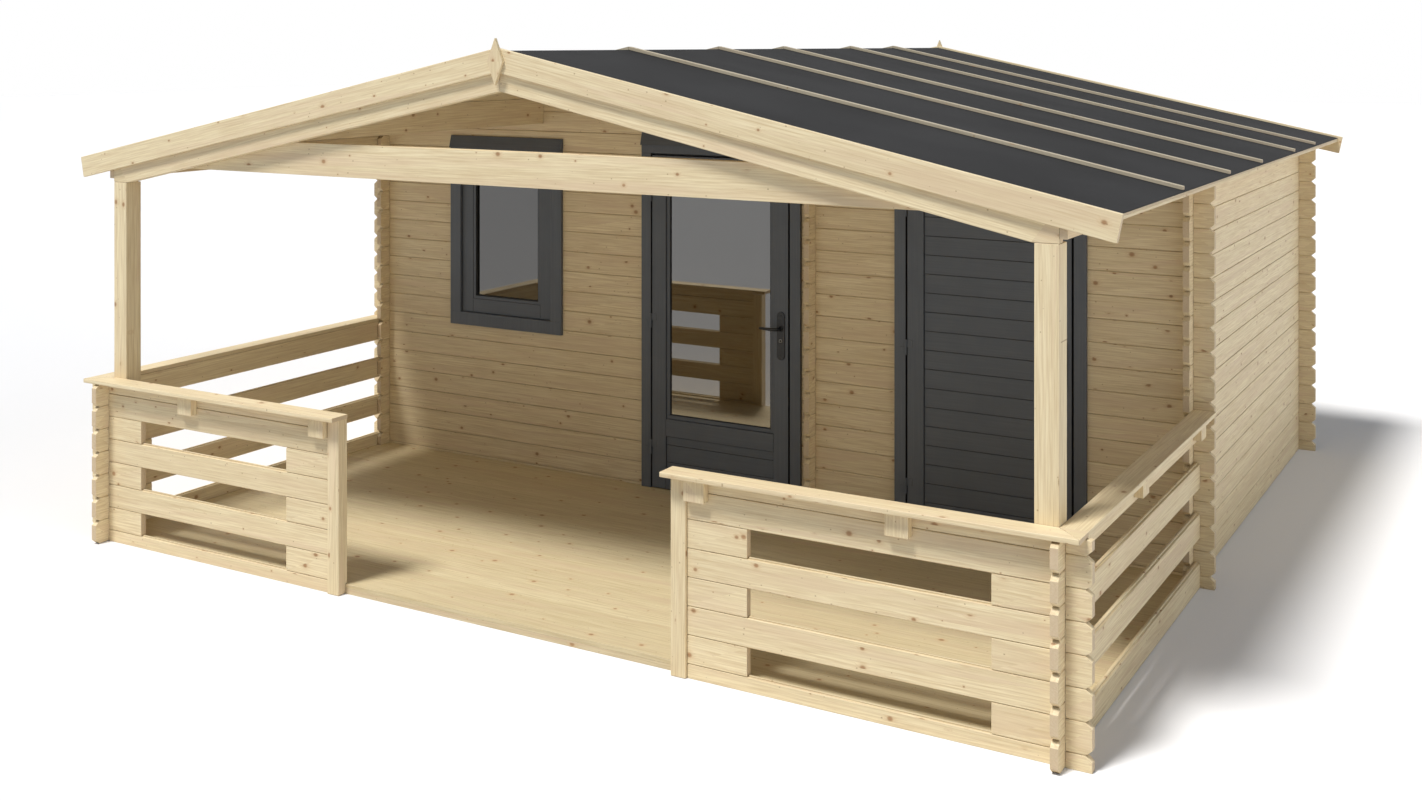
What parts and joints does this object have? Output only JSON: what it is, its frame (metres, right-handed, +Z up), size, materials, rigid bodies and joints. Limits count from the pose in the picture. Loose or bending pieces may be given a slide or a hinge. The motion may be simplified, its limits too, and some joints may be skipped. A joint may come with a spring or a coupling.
{
  "type": "garden log cabin",
  "caption": "Garden log cabin with interlocking log corners, a covered veranda with log railings, a glazed door, a store door, a window and a low felt gable roof.",
  "frame": {"origin": "middle of the part's box on the ground", "axes": "+X to the right as seen from the front, +Y from the veranda to the rear, +Z up"},
  "size_m": [5.29, 5.106, 2.5046],
  "materials": {
    "spruce": "planed, untreated",
    "anthracite_paint": "satin paint",
    "roofing_felt": "matt mineral felt",
    "glass": "clear",
    "black_fittings": "satin black"
  },
  "bodies": {
    "cabin": {"floor_bearers": "spruce", "veranda_deck": "spruce", "cabin_floor": "spruce", "left_wall": "spruce", "right_wall": "spruce", "rear_wall": "spruce", "partition_wall": "spruce", "front_wall_left": "spruce", "front_wall_middle": "spruce", "front_wall_right": "spruce", "front_gable": "spruce", "window_casing": "anthracite_paint", "window_sash": "anthracite_paint", "window_glass": "glass", "glazed_door_casing": "anthracite_paint", "store_door_casing": "anthracite_paint", "drip_caps": "anthracite_paint", "frame_hinges": "black_fittings", "veranda_posts": "spruce", "front_rafters": "spruce", "tie_beam": "spruce", "ridge_purlin": "spruce", "mid_purlins": "spruce", "eave_beams": "spruce", "roof_boards": "spruce", "roof_felt": "roofing_felt", "roof_battens": "spruce", "barge_boards": "spruce", "ridge_finials": "spruce", "left_railing": "spruce", "right_railing": "spruce", "front_left_railing": "spruce", "front_right_railing": "spruce", "entrance_posts": "spruce", "cap_rails": "spruce", "cap_brackets": "spruce"},
    "glazed_door": {"glazed_door_leaf": "anthracite_paint", "glazed_door_glass": "glass", "glazed_door_panel": "anthracite_paint", "glazed_door_plates": "black_fittings", "glazed_door_hinges": "black_fittings"},
    "store_door": {"store_door_leaf": "anthracite_paint", "store_door_boards": "anthracite_paint", "store_door_plates": "black_fittings", "store_door_hinges": "black_fittings"},
    "glazed_lever": {"glazed_door_lever": "black_fittings"},
    "store_lever": {"store_door_lever": "black_fittings"}
  },
  "joints": [
    {"name": "glazed_door_swing", "type": "hinge", "parent": "cabin", "child": "glazed_door", "pos_m": [-0.48986, -0.472, 1], "axis": [0, 0, -1], "range_deg": [0, 110]},
    {"name": "glazed_lever_turn", "type": "hinge", "parent": "glazed_door", "child": "glazed_lever", "pos_m": [0.31239, -0.466, 0.99], "axis": [0, -1, 0], "range_deg": [0, 35], "stiffness_Nm_per_rad": 1.5, "springref_deg": -20.05},
    {"name": "store_door_swing", "type": "hinge", "parent": "cabin", "child": "store_door", "pos_m": [1.01623, -0.472, 1], "axis": [0, 0, -1], "range_deg": [0, 110]},
    {"name": "store_lever_turn", "type": "hinge", "parent": "store_door", "child": "store_lever", "pos_m": [1.81848, -0.466, 0.99], "axis": [0, -1, 0], "range_deg": [0, 35], "stiffness_Nm_per_rad": 1.5, "springref_deg": -20.05}
  ]
}
